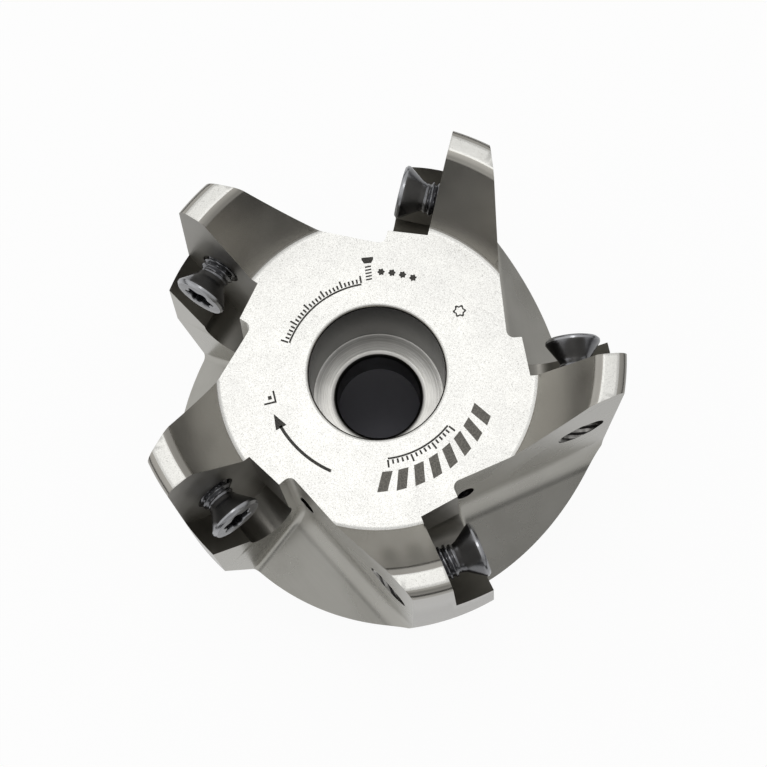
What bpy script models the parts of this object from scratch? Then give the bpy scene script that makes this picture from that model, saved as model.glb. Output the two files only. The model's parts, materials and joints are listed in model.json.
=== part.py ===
"""Face mill: one-piece steel cutter body with five insert pockets, and the
five hexalobular screws that clamp its inserts.

Heights are measured from the rear locating face, the cutting end is up, and
the whole cutter hangs on an empty that puts its centre of mass at the origin.
A pocket's own directions are u (outward), v (the way it cuts) and z (up).
"""
import math

import bmesh
import bpy
from mathutils import Matrix, Vector

# Cutter body, metres
POCKETS = 5
BODY_RADIUS = 0.0303
HUB_RADIUS = 0.0245
DISC_HEIGHT = 0.0390
TOOTH_HEIGHT = 0.0490
TAPER_TOP = 0.0215
TAPER_ANGLE = math.radians(18.5)
REAR_CHAMFER = 0.0010
RIM_RADIUS = 0.0201
RIM_FILLET = 0.0009
TOOTH_CONE_ANGLE = math.radians(33.5)
TOOTH_INNER_ROUND = 0.0016
TOOTH_OUTER_ROUND = 0.0014
BALANCE_HEIGHT = 0.0202
TURNED_STEPS = 80

# Bolt seat, bolt hole and arbor bore
COUNTERBORE_RADIUS = 0.0086
COUNTERBORE_DEPTH = 0.0125
BOLT_HOLE_RADIUS = 0.0055
BOLT_HOLE_ROUND = 0.0008
MOUTH_ROUND = 0.0004
ARBOR_BORE_RADIUS = 0.0110
ARBOR_BORE_DEPTH = 0.0200
ARBOR_BORE_CHAMFER = 0.0006
DRIVE_SLOT_WIDTH = 0.0104
DRIVE_SLOT_DEPTH = 0.0063

# Gullets: a flat floor that turns up into a 45 degree run-out
GULLET_FLOOR = 0.01676
GULLET_TURN_HEIGHT = 0.0239
GULLET_TURN_RADIUS = 0.0081
GULLET_RUNOUT = math.radians(45.0)
GULLET_CORNER = 0.0009
GULLET_LENGTH = 0.0400

# Insert pockets for a 35 degree rhombic insert with 7 degrees of clearance
POCKET_CORNER = Vector((0.01905, -0.00250, DISC_HEIGHT))
POCKET_RADIAL_LEAN = math.radians(2.0)
POCKET_AXIAL_LEAN = math.radians(3.0)
INSERT_ANGLE = math.radians(35.0)
INSERT_CLEARANCE = math.radians(7.0)
WALL_HEIGHT = 0.0051
FAR_CORNER_DEPTH = 0.0214
RELIEF_RADIUS = 0.0035
RELIEF_CENTRE = (0.00255, -0.0140)
POCKET_REACH = 0.0180

# Insert screws, M4.5 with a 7 mm countersunk head
SCREW_OUT = 0.00600
SCREW_DOWN = 0.00310
SCREW_LENGTH = 0.0105
SCREW_HEAD_TOP = 0.0050
SCREW_LIFTS = (0.0, 0.0, -0.0001, -0.0004, 0.0005)
SCREW_HEAD_RADIUS = 0.0035
SCREW_RIM = 0.0006
SCREW_RIM_CHAMFER = 0.0002
SCREW_CONE = 0.0022
SCREW_NECK_RADIUS = 0.00200
SCREW_NECK = 0.0005
THREAD_RADIUS = 0.00225
THREAD_DEPTH = 0.00035
THREAD_PITCH = 0.00075
THREAD_GROOVES = 3
SCREW_STEPS = 30
RECESS_RADIUS = 0.00190
RECESS_WAVE = 0.00031
RECESS_DEPTH = 0.0020
RECESS_POINTS = 48

# Tapped screw holes, opened out behind the tooth
SCREW_HOLE_RADIUS = 0.00255
SCREW_HOLE_DEPTH = 0.0050
SCREW_EXIT_RADIUS = 0.0030
SCREW_EXIT_DEPTH = 0.0140

# Coolant holes, from the arbor bore up to the gullet floor
COOLANT_RADIUS = 0.0012
COOLANT_SIDE = 0.0049
COOLANT_DEPTH = 0.0112
COOLANT_ANGLE = math.radians(28.0)
COOLANT_LENGTH = 0.0180
HOLE_STEPS = 24
OVERCUT = 0.0020


def clear_scene():
    for obj in list(bpy.data.objects):
        bpy.data.objects.remove(obj, do_unlink=True)


def new_collection(name):
    collection = bpy.data.collections.new(name)
    bpy.context.scene.collection.children.link(collection)
    return collection


def new_material(name, colour, roughness, metallic):
    material = bpy.data.materials.new(name)
    material.use_nodes = True
    shader = material.node_tree.nodes["Principled BSDF"]
    shader.inputs["Base Color"].default_value = (*colour, 1.0)
    shader.inputs["Roughness"].default_value = roughness
    shader.inputs["Metallic"].default_value = metallic
    return material


def new_object(name, mesh, collection, parent):
    obj = bpy.data.objects.new(name, mesh)
    collection.objects.link(obj)
    obj.parent = parent
    return obj


def mark_as_cutter(obj):
    obj.hide_render = True
    obj.display_type = "WIRE"


def arc(centre_x, centre_y, radius, start, end, count):
    """Points of an arc, angles in radians, both ends included."""
    steps = [start + (end - start) * i / count for i in range(count + 1)]
    return [(centre_x + radius * math.cos(a), centre_y + radius * math.sin(a)) for a in steps]


def turned_mesh(name, profile, closed):
    """A profile of (radius, height) points in the XZ plane, for a Screw modifier."""
    mesh = bpy.data.meshes.new(name)
    points = [(radius, 0.0, height) for radius, height in profile]
    edges = [(i, i + 1) for i in range(len(points) - 1)]
    if closed:
        edges.append((len(points) - 1, 0))
    mesh.from_pydata(points, edges, [])
    return mesh


def add_screw_modifier(obj, steps):
    turn = obj.modifiers.new("turn", "SCREW")
    turn.steps = steps
    turn.render_steps = steps
    turn.use_merge_vertices = True
    turn.merge_threshold = 0.00001
    turn.use_smooth_shade = True


def add_cut(obj, cutter):
    cut = obj.modifiers.new("cut_" + cutter.name, "BOOLEAN")
    cut.operation = "DIFFERENCE"
    cut.solver = "EXACT"
    cut.object = cutter


def loft_mesh(name, lower, upper):
    """Closed solid between two loops of the same number of points."""
    bm = bmesh.new()
    low = [bm.verts.new(point) for point in lower]
    high = [bm.verts.new(point) for point in upper]
    count = len(low)
    for i in range(count):
        j = (i + 1) % count
        bm.faces.new((low[i], low[j], high[j], high[i]))
    bm.faces.new(list(reversed(low)))
    bm.faces.new(high)
    bmesh.ops.recalc_face_normals(bm, faces=bm.faces)
    mesh = bpy.data.meshes.new(name)
    bm.to_mesh(mesh)
    bm.free()
    return mesh


def cylinder_mesh(name, radius, length, steps):
    """Cylinder on +Z from the origin."""
    bm = bmesh.new()
    middle = Matrix.Translation((0.0, 0.0, length / 2))
    bmesh.ops.create_cone(bm, cap_ends=True, segments=steps, radius1=radius,
                          radius2=radius, depth=length, matrix=middle)
    mesh = bpy.data.meshes.new(name)
    bm.to_mesh(mesh)
    bm.free()
    return mesh


def pocket_frame():
    """Matrix of the seat: u' outward, v' off the seat floor, z' up the radial wall."""
    lean = Matrix.Rotation(POCKET_AXIAL_LEAN, 4, "X") @ Matrix.Rotation(-POCKET_RADIAL_LEAN, 4, "Z")
    return Matrix.Translation(POCKET_CORNER) @ lean


def screw_frame():
    """Matrix of a screw: +Z along its axis and away from the seat floor, origin on the floor."""
    place = Matrix.Translation((SCREW_OUT, 0.0, -SCREW_DOWN))
    return pocket_frame() @ place @ Matrix.Rotation(math.radians(-90.0), 4, "X")


def body_profile():
    """Ring section of the turned blank: down the outside, then up through the bores."""
    cone_slope = math.tan(TOOTH_CONE_ANGLE)
    cone_end = RIM_RADIUS + (TOOTH_HEIGHT - DISC_HEIGHT) * cone_slope
    turn = math.pi / 2 - TOOTH_CONE_ANGLE
    inner_tangent = TOOTH_INNER_ROUND * math.tan(turn / 2)
    rim_tangent = RIM_FILLET * math.tan(turn / 2)
    taper_end = TAPER_TOP - (BODY_RADIUS - HUB_RADIUS) / math.tan(TAPER_ANGLE)
    seat = DISC_HEIGHT - COUNTERBORE_DEPTH
    points = arc(RIM_RADIUS - rim_tangent, DISC_HEIGHT + RIM_FILLET, RIM_FILLET,
                 -math.pi / 2, -math.pi / 2 + turn, 4)
    points += arc(cone_end + inner_tangent, TOOTH_HEIGHT - TOOTH_INNER_ROUND, TOOTH_INNER_ROUND,
                  math.pi / 2 + turn, math.pi / 2, 4)
    points += arc(BODY_RADIUS - TOOTH_OUTER_ROUND, TOOTH_HEIGHT - TOOTH_OUTER_ROUND,
                  TOOTH_OUTER_ROUND, math.pi / 2, 0.0, 5)
    points.append((BODY_RADIUS, TAPER_TOP))
    points.append((HUB_RADIUS, taper_end))
    points.append((HUB_RADIUS, REAR_CHAMFER))
    points.append((HUB_RADIUS - REAR_CHAMFER, 0.0))
    points.append((ARBOR_BORE_RADIUS + ARBOR_BORE_CHAMFER, 0.0))
    points.append((ARBOR_BORE_RADIUS, ARBOR_BORE_CHAMFER))
    points.append((ARBOR_BORE_RADIUS, ARBOR_BORE_DEPTH))
    points.append((BOLT_HOLE_RADIUS, ARBOR_BORE_DEPTH))
    points += arc(BOLT_HOLE_RADIUS + BOLT_HOLE_ROUND, seat - BOLT_HOLE_ROUND, BOLT_HOLE_ROUND,
                  math.pi, math.pi / 2, 4)
    points.append((COUNTERBORE_RADIUS, seat))
    points += arc(COUNTERBORE_RADIUS + MOUTH_ROUND, DISC_HEIGHT - MOUTH_ROUND, MOUTH_ROUND,
                  math.pi, math.pi / 2, 3)
    return points


def gullet_section():
    """Outline of a gullet in the (u, z) plane, from its floor out past the teeth."""
    top = TOOTH_HEIGHT + OVERCUT
    outside = BODY_RADIUS + OVERCUT
    centre = (GULLET_FLOOR + GULLET_TURN_RADIUS, GULLET_TURN_HEIGHT)
    turn = arc(*centre, GULLET_TURN_RADIUS, math.pi, math.pi + GULLET_RUNOUT, 8)
    last_u, last_z = turn[-1]
    drop = (outside - last_u) / math.tan(GULLET_RUNOUT)
    return [(GULLET_FLOOR, top), *turn, (outside, last_z - drop), (outside, top)]


def gullet_mesh():
    """Gullet cutter, whose near end is the plane at the top of the pocket walls."""
    frame = pocket_frame()
    normal = (frame.to_3x3() @ Vector((0.0, 1.0, 0.0))).normalized()
    on_plane = frame @ Vector((0.0, WALL_HEIGHT, 0.0))
    near = []
    far = []
    for u, z in gullet_section():
        v = on_plane.y - (normal.x * (u - on_plane.x) + normal.z * (z - on_plane.z)) / normal.y
        near.append((u, v, z))
        far.append((u, GULLET_LENGTH, z))
    return loft_mesh("gullet_cutter", near, far)


def seat_outline(offset):
    """Pocket outline in the seat's own (u', z') plane: the radial wall, the drilled
    corner relief and the rear wall, both walls grown by offset for their lean."""
    relief_u, relief_z = RELIEF_CENTRE
    rear_wall = (FAR_CORNER_DEPTH + relief_z) * math.sin(INSERT_ANGLE)
    rear_wall -= relief_u * math.cos(INSERT_ANGLE)
    start = math.acos(-(relief_u + offset) / RELIEF_RADIUS)
    end = 2 * math.pi - INSERT_ANGLE + math.acos((rear_wall + offset) / RELIEF_RADIUS)
    turn = arc(relief_u, relief_z, RELIEF_RADIUS, start, end, 14)
    last_u, last_z = turn[-1]
    rise = (POCKET_REACH - last_u) / math.tan(INSERT_ANGLE)
    top = TOOTH_HEIGHT - DISC_HEIGHT + 2 * OVERCUT
    return [(-offset, top), *turn, (POCKET_REACH, last_z + rise), (POCKET_REACH, top)]


def pocket_mesh():
    height = WALL_HEIGHT + OVERCUT
    frame = pocket_frame()
    lower = [frame @ Vector((u, 0.0, z)) for u, z in seat_outline(0.0)]
    grow = height * math.tan(INSERT_CLEARANCE)
    upper = [frame @ Vector((u, height, z)) for u, z in seat_outline(grow)]
    return loft_mesh("pocket_cutter", lower, upper)


def screw_profile():
    """Half section of an insert screw, from the middle of its head down to its tip."""
    tip = SCREW_HEAD_TOP - SCREW_LENGTH
    rim_low = SCREW_HEAD_TOP - SCREW_RIM
    neck_top = rim_low - SCREW_CONE
    thread_top = neck_top - SCREW_NECK
    points = [(0.0, SCREW_HEAD_TOP)]
    points.append((SCREW_HEAD_RADIUS - SCREW_RIM_CHAMFER, SCREW_HEAD_TOP))
    points.append((SCREW_HEAD_RADIUS, SCREW_HEAD_TOP - SCREW_RIM_CHAMFER))
    points.append((SCREW_HEAD_RADIUS, rim_low))
    points.append((SCREW_NECK_RADIUS, neck_top))
    points.append((SCREW_NECK_RADIUS, thread_top))
    for groove in range(THREAD_GROOVES):
        crest = thread_top - THREAD_PITCH * (groove + 0.4)
        points.append((THREAD_RADIUS, crest))
        points.append((THREAD_RADIUS - THREAD_DEPTH, crest - THREAD_PITCH / 2))
    points.append((THREAD_RADIUS, thread_top - THREAD_PITCH * (THREAD_GROOVES + 0.4)))
    points.append((THREAD_RADIUS, tip + THREAD_DEPTH))
    points.append((THREAD_RADIUS - THREAD_DEPTH, tip))
    points.append((0.0, tip))
    return points


def screw_hole_profile():
    """Half section of a tapped hole's cutter, in the screw's own frame."""
    step = SCREW_EXIT_RADIUS - SCREW_HOLE_RADIUS
    return [(0.0, OVERCUT),
            (SCREW_HOLE_RADIUS, OVERCUT),
            (SCREW_HOLE_RADIUS, -SCREW_HOLE_DEPTH),
            (SCREW_EXIT_RADIUS, -SCREW_HOLE_DEPTH - step),
            (SCREW_EXIT_RADIUS, -SCREW_EXIT_DEPTH),
            (0.0, -SCREW_EXIT_DEPTH)]


def recess_mesh():
    """Six-lobed driver recess, sunk into the head from above."""
    low = []
    high = []
    for i in range(RECESS_POINTS):
        angle = 2 * math.pi * i / RECESS_POINTS
        radius = RECESS_RADIUS + RECESS_WAVE * math.cos(6 * angle)
        x = radius * math.cos(angle)
        y = radius * math.sin(angle)
        low.append((x, y, SCREW_HEAD_TOP - RECESS_DEPTH))
        high.append((x, y, SCREW_HEAD_TOP + OVERCUT))
    return loft_mesh("recess_cutter", low, high)


def add_drive_slot(cutters, parent):
    bm = bmesh.new()
    bmesh.ops.create_cube(bm, size=1.0)
    size = (DRIVE_SLOT_WIDTH, 2 * HUB_RADIUS + 2 * OVERCUT, 2 * DRIVE_SLOT_DEPTH)
    bmesh.ops.scale(bm, vec=size, verts=bm.verts)
    mesh = bpy.data.meshes.new("drive_slot_cutter")
    bm.to_mesh(mesh)
    bm.free()
    cutter = new_object("drive_slot_cutter", mesh, cutters, parent)
    mark_as_cutter(cutter)
    return cutter


def add_pocket_cutters(number, meshes, cutters, parent):
    """The four cutters of one tooth: gullet, pocket, screw hole and coolant hole."""
    turn = Matrix.Rotation(2 * math.pi * (number - 1) / POCKETS, 4, "Z")
    made = []
    for label, mesh, local in meshes:
        cutter = new_object(f"{label}_cutter_{number}", mesh, cutters, parent)
        cutter.matrix_local = turn @ local
        mark_as_cutter(cutter)
        if label == "screw_hole":
            add_screw_modifier(cutter, HOLE_STEPS)
        if label == "gullet":
            soften = cutter.modifiers.new("corner", "BEVEL")
            soften.width = GULLET_CORNER
            soften.segments = 3
            soften.limit_method = "WEIGHT"
        made.append(cutter)
    return made


def mark_gullet_corner(mesh):
    """Bevel weight on the inner corner, between the gullet's end wall and its floor."""
    weights = mesh.attributes.new("bevel_weight_edge", "FLOAT", "EDGE")
    for edge in mesh.edges:
        ends = [mesh.vertices[i].co for i in edge.vertices]
        near = all(end.y < GULLET_LENGTH / 2 for end in ends)
        outer = all(end.x > BODY_RADIUS for end in ends)
        top = all(end.z > TOOTH_HEIGHT for end in ends)
        if near and not outer and not top:
            weights.data[edge.index].value = 1.0


def hole_cutters():
    """Tapped screw hole and coolant hole, each with its place in the first pocket."""
    screw_hole = turned_mesh("screw_hole_cutter", screw_hole_profile(), closed=False)
    coolant = cylinder_mesh("coolant_cutter", COOLANT_RADIUS, COOLANT_LENGTH, HOLE_STEPS)
    exit_point = Vector((GULLET_FLOOR, COOLANT_SIDE, DISC_HEIGHT - COOLANT_DEPTH))
    tilt = Matrix.Rotation(COOLANT_ANGLE - math.pi, 4, "Y")
    lead = Matrix.Translation((0.0, 0.0, -2 * OVERCUT))
    coolant_place = Matrix.Translation(exit_point) @ tilt @ lead
    return [("screw_hole", screw_hole, screw_frame()), ("coolant", coolant, coolant_place)]


def build_body(parts, cutters, parent, steel):
    mesh = turned_mesh("cutter_body", body_profile(), closed=True)
    mesh.materials.append(steel)
    body = new_object("cutter_body", mesh, parts, parent)
    add_screw_modifier(body, TURNED_STEPS)
    gullet = gullet_mesh()
    mark_gullet_corner(gullet)
    meshes = [("gullet", gullet, Matrix()), ("pocket", pocket_mesh(), Matrix()), *hole_cutters()]
    for number in range(1, POCKETS + 1):
        for cutter in add_pocket_cutters(number, meshes, cutters, parent):
            add_cut(body, cutter)
    add_cut(body, add_drive_slot(cutters, parent))


def build_screws(parts, cutters, parent, steel):
    """The five screws, each unscrewed a little differently."""
    mesh = turned_mesh("insert_screw", screw_profile(), closed=False)
    mesh.materials.append(steel)
    recess = recess_mesh()
    for number in range(1, POCKETS + 1):
        turn = Matrix.Rotation(2 * math.pi * (number - 1) / POCKETS, 4, "Z")
        lift = Matrix.Translation((0.0, 0.0, SCREW_LIFTS[number - 1]))
        screw = new_object(f"insert_screw_{number}", mesh, parts, parent)
        screw.matrix_local = turn @ screw_frame() @ lift
        add_screw_modifier(screw, SCREW_STEPS)
        cutter = new_object(f"recess_cutter_{number}", recess, cutters, screw)
        mark_as_cutter(cutter)
        add_cut(screw, cutter)


def main():
    clear_scene()
    parts = new_collection("face_mill")
    cutters = new_collection("face_mill_cutters")
    parent = bpy.data.objects.new("balance_point", None)
    parts.objects.link(parent)
    parent.location = (0.0, 0.0, -BALANCE_HEIGHT)
    nickel = new_material("satin_nickel", (0.62, 0.60, 0.56), 0.35, 1.0)
    gunmetal = new_material("gunmetal", (0.06, 0.06, 0.07), 0.30, 1.0)
    build_body(parts, cutters, parent, nickel)
    build_screws(parts, cutters, parent, gunmetal)


main()
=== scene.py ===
"""Looks of the face mill: a fine cutter body and five threaded insert screws around the
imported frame, satin nickel and black-oxide materials, laser marks, floor, light and camera."""
import json
import math

import bmesh
import bpy
from mathutils import Matrix, Vector

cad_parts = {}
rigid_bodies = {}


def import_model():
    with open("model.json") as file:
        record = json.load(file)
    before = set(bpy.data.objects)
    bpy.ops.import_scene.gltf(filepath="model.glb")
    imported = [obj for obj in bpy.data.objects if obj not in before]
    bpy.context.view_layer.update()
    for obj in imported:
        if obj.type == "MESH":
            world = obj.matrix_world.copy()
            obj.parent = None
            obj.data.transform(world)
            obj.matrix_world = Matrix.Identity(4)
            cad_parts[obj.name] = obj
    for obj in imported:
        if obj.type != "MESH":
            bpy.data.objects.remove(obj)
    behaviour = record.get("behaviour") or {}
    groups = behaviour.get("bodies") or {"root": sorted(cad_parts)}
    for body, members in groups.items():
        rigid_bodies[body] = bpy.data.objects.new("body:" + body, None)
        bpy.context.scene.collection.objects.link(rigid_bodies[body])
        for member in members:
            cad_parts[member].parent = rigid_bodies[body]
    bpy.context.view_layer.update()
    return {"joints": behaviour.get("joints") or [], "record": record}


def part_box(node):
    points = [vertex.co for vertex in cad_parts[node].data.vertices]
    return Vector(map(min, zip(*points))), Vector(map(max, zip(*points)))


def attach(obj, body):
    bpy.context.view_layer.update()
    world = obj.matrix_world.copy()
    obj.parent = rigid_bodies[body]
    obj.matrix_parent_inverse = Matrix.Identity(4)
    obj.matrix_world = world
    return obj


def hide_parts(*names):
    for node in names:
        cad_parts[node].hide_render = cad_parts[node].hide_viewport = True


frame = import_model()

TURN = 2 * math.pi

# Places and counts read from the frame
MOUNTS = {mount["name"]: mount for mount in frame["record"]["mounts"]}
JOINTS = {joint["child"]: joint for joint in frame["joints"]}
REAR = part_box("cutter_body")[0].z
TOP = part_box("cutter_body")[1].z
DISC = MOUNTS["disc_face"]["pos_m"][2]
BOLT_SEAT = MOUNTS["bolt_seat"]["pos_m"][2]
POCKETS = len(JOINTS)

# Cutter body
BODY_RADIUS = 0.03027
HUB_RADIUS = 0.0245
TAPER_TOP = REAR + 0.0215
TAPER_ANGLE = math.radians(18.5)
REAR_CHAMFER = 0.0010
RIM_RADIUS = 0.0201
RIM_FILLET = 0.0009
CONE_ANGLE = math.radians(33.5)
INNER_ROUND = 0.0016
OUTER_ROUND = 0.0014
COUNTERBORE_RADIUS = 0.0086
BOLT_HOLE_RADIUS = 0.0055
BOLT_HOLE_ROUND = 0.0008
MOUTH_ROUND = 0.0005
ARBOR_BORE_RADIUS = 0.0110
ARBOR_BORE_TOP = REAR + 0.0200
ARBOR_BORE_CHAMFER = 0.0006
DRIVE_SLOT_WIDTH = 0.0104
DRIVE_SLOT_DEPTH = 0.0063
BODY_STEPS = 240
RIM_STEPS = 8
INNER_ROUND_STEPS = 10
OUTER_ROUND_STEPS = 12
REAR_CHAMFER_STEPS = 5
MOUTH_STEPS = 8
SEAT_RINGS = 5
SEAT_RING_EDGE = 0.0002
SEAT_RING_INNER = 0.0010
SEAT_RING_DEPTH = 0.000008
SEAT_RING_SHARES = (0.15, 0.50, 0.85)
DRIVE_SLOT_CORNER = 0.0006
DRIVE_SLOT_STEPS = 5

# Gullets
GULLET_FLOOR = 0.01676
GULLET_TURN_HEIGHT = REAR + 0.0239
GULLET_TURN_RADIUS = 0.0081
GULLET_RUNOUT = math.radians(45.0)
GULLET_CORNER = 0.0009
GULLET_LENGTH = 0.0400
GULLET_TURN_STEPS = 20
GULLET_CORNER_STEPS = 10

# Insert pockets
POCKET_CORNER = Vector((0.01905, -0.00250, DISC))
RADIAL_LEAN = math.radians(2.0)
AXIAL_LEAN = math.radians(3.0)
INSERT_ANGLE = math.radians(35.0)
INSERT_CLEARANCE = math.radians(7.0)
WALL_HEIGHT = 0.0051
FAR_CORNER_DEPTH = 0.0214
RELIEF_RADIUS = 0.0035
RELIEF_CENTRE = (0.00255, -0.0140)
POCKET_REACH = 0.0180
RELIEF_STEPS = 36

# Coolant holes
COOLANT_RADIUS = 0.0012
COOLANT_SIDE = 0.0049
COOLANT_DEPTH = 0.0112
COOLANT_ANGLE = math.radians(28.0)
COOLANT_LENGTH = 0.0180

# How far cutters reach past the surface that they open
OVERCUT = 0.0020

# Insert screws and their tapped holes
SCREW_OUT = 0.0060
SCREW_DOWN = 0.0031
SCREW_LENGTH = 0.0105
HEAD_TOP = 0.0050
HEAD_RADIUS = 0.0035
HEAD_RIM = 0.0006
HEAD_CHAMFER = 0.00028
HEAD_CONE = 0.0022
HEAD_CONE_ROWS = 8
NECK_RADIUS = 0.0020
NECK = 0.0005
NECK_EASE = 0.00008
NECK_FLARE = 0.00005
THREAD_RADIUS = 0.00225
THREAD_DEPTH = 0.00042
THREAD_PITCH = 0.00075
THREAD_ROWS = 10
THREAD_CREST = 1.25
THREAD_END = 0.15
RECESS_RADIUS = 0.00190
RECESS_WAVE = 0.00031
RECESS_DEPTH = 0.0020
LOBES = 6
SCREW_STEPS = 96
SCREW_LIFTS = (0.0, 0.0, -0.0001, -0.0004, 0.0005)
SCREW_SPINS = (0.3, 0.9, 0.1, 0.5, 0.7)
HOLE_RADIUS = 0.00255
HOLE_DEPTH = 0.0050
HOLE_THREAD = 0.00022
HOLE_ROWS = 6
HOLE_EXIT_RADIUS = 0.0030
HOLE_EXIT_DEPTH = 0.0140
EXIT_THREAD = 0.00020
EXIT_ROWS = 4
HOLE_STEPS = 48

# Rings of a screw: radius or growth of the recess, depth under the head's top, bareness with painted
# shade.
# Bareness is -1 for oxide darkened with painted shade in the recess, 0 for plain oxide and 1 for
# steel with the oxide worn off.
RECESS_FLOOR = ((0.10, RECESS_DEPTH + 0.00045, -1.0), (0.62, RECESS_DEPTH + 0.00022, -1.0))
RECESS_WALL = ((-0.00022, RECESS_DEPTH, -1.0), (-0.00012, RECESS_DEPTH - 0.00015, -1.0),
               (-0.00002, 0.00030, -0.8), (0.0, 0.00010, 0.0),
               (0.00003, 0.00003, 0.9), (0.00009, 0.0, 0.0))
HEAD_RINGS = ((RECESS_RADIUS + RECESS_WAVE + 0.00028, 0.0, -0.25),
              (HEAD_RADIUS - HEAD_CHAMFER - 0.00010, 0.0, 0.0),
              (HEAD_RADIUS - HEAD_CHAMFER, 0.00002, 1.0),
              (HEAD_RADIUS - 0.00002, HEAD_CHAMFER, 1.0),
              (HEAD_RADIUS, HEAD_CHAMFER + 0.00004, 0.8),
              (HEAD_RADIUS, HEAD_RIM - 0.00003, 0.7),
              (HEAD_RADIUS - 0.00003, HEAD_RIM + 0.00002, 0.4))
TIP_RINGS = ((THREAD_RADIUS - THREAD_DEPTH - 0.0003, SCREW_LENGTH + 0.00012, 0.0),
             (0.0002, SCREW_LENGTH + 0.00016, 0.0))

# Edges and shading
EDGE_MERGE = 0.000004
EDGE_ANGLE = math.radians(28.0)
EDGE_ROUND = 0.00010
EDGE_SEGMENTS = 2
EDGE_PROFILE = 0.5
SMOOTH_ANGLE = math.radians(24.0)
PLANE_AREA = 0.000025
PLANE_TOLERANCE = math.radians(0.2)

# Steepest faces that are still blasted, as the height of their normal
BLASTED_SLOPE = 0.80
LAND_SLOPE = 0.97

# Laser marks: angles in degrees, anticlockwise from +X
LINE = 0.00024
SHORT_TICK = 0.00075
LONG_TICK = 0.00115
LONG_TICK_EVERY = 5
TICK_START = LINE * 0.75
STEPS_PER_TICK = 4
MARK_DEPTH = 0.00005
MARK_PROUD = 0.000006
STAR_STEPS = 48
LOBE_WAVE = 0.16
OUTER_SCALE = {"start": 155.0, "end": 94.0, "radius": 0.0117, "ticks": 25}
INNER_SCALE = {"start": -44.0, "end": -89.0, "radius": 0.0112, "ticks": 15}
SCREW_SIGN_AT = (89.0, 0.0137)
SIGN_HEAD = ((0.0007, 0.00045), (0.0012, 0.00075), (0.0015, 0.00075))
SIGN_TURNS = 5
SIGN_LENGTH = 0.0016
SIGN_PITCH = 0.00042
SIGN_TURN = ((0.0, -0.0004), (0.0001, 0.0004), (0.0003, 0.0004), (0.0002, -0.0004))
DOT_ANGLES = (82.0, 76.0, 70.0, 64.0)
DOT_RADIUS = 0.0132
DOT_SIZE = 0.00042
DRIVER_SIGN_AT = (31.5, 0.0131)
DRIVER_SIGN = 0.00074
BAR_ANGLES = (-90.0, -81.0, -72.0, -63.0, -54.0, -45.0, -36.0, -27.0)
BAR_ENDS = (0.0128, 0.0153)
BAR_WIDTH = 0.0013
BAR_SLANT = 0.0009
ARROW_ENDS = (240.0, 204.0)
ARROW_EDGES = (0.0137, 0.0141)
ARROW_STEPS = 24
ARROW_HEAD_AT = (203.0, 0.0139)
ARROW_HEAD = 0.0015
CORNER_SIGN_AT = (188.0, 0.0139)
CORNER_SIGN = 0.0016
CORNER_DOT = (0.3, 0.6)

# Finishes: base colours, shares of pits and sand, grains and rings per metre, relief in
# metres. MIDDLE is the range in which most of a noise's values lie.
MIDDLE = (0.3, 0.7)
DISC_LOOK = {"dark": (0.85, 0.845, 0.81, 1.0), "light": (0.92, 0.915, 0.885, 1.0),
             "pits": 0.52, "sand": 0.38, "roughness": (0.38, 0.46), "relief": 0.000006}
LAND_LOOK = {"dark": (0.62, 0.615, 0.585, 1.0), "light": (0.72, 0.715, 0.685, 1.0),
             "pits": 0.45, "sand": 0.26, "roughness": (0.34, 0.41), "relief": 0.000004}
PIT_GRAIN = 7200.0
PIT_RANGE = (0.30, 0.42)
PIT_COLOUR = (0.16, 0.155, 0.145, 1.0)
SAND_GRAIN = 12000.0
SAND_RANGE = (0.36, 0.58)
SAND_COLOUR = (0.30, 0.29, 0.27, 1.0)
BLAST_CLOUDS = 240.0
TURNED = {"dark": (0.35, 0.335, 0.305, 1.0), "light": (0.41, 0.395, 0.36, 1.0),
          "streaks": (150.0, 150.0, 4200.0), "roughness": (0.20, 0.26)}
MILLED = {"dark": (0.41, 0.40, 0.365, 1.0), "light": (0.47, 0.46, 0.425, 1.0),
          "streaks": (220.0, 220.0, 3000.0), "roughness": (0.24, 0.31)}
SATIN_CLOUDS = 110.0
STREAK_COLOUR = (0.20, 0.19, 0.17, 1.0)
STREAK_RANGE = (0.35, 0.65)
STREAK_SHARE = 0.04
STREAK_RELIEF = 0.0000002
BORE_LOOK = {"dark": (0.11, 0.106, 0.10, 1.0), "light": (0.14, 0.136, 0.13, 1.0),
             "stain": (0.08, 0.078, 0.074, 1.0), "rings": 900.0}
BOLT_SEAT_LOOK = {"dark": (0.36, 0.355, 0.335, 1.0), "light": (0.66, 0.65, 0.62, 1.0),
                  "stain": (0.24, 0.23, 0.21, 1.0), "rings": 2600.0}
STAIN_GRAIN = 260.0
STAIN_RANGE = (0.45, 0.75)
STAIN_SHARE = 0.35
RING_ROUGHNESS = (0.28, 0.36)
RING_RELIEF = 0.000005
# Painted shade: the insert pockets' floors and walls get a dark colour
SHADED_SEAT_LOOK = {"dark": (0.24, 0.23, 0.21, 1.0), "light": (0.31, 0.30, 0.275, 1.0),
             "metallic": 1.0, "grain": 220.0, "detail": 4.0, "range": (0.3, 0.7),
             "roughness": (0.36, 0.44), "relief": 0.000001}
# Painted shade: the dark colour inside the tapped and coolant holes; the light colour is the burrs
SHADED_HOLE_LOOK = {"dark": (0.17, 0.166, 0.157, 1.0), "light": (0.60, 0.59, 0.565, 1.0),
             "metallic": 1.0, "grain": 700.0, "detail": 3.0, "range": (0.42, 0.66),
             "roughness": (0.26, 0.38), "relief": 0.000004}
OXIDE_DARK = (0.180, 0.181, 0.190, 1.0)
OXIDE_LIGHT = (0.235, 0.237, 0.248, 1.0)
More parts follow.
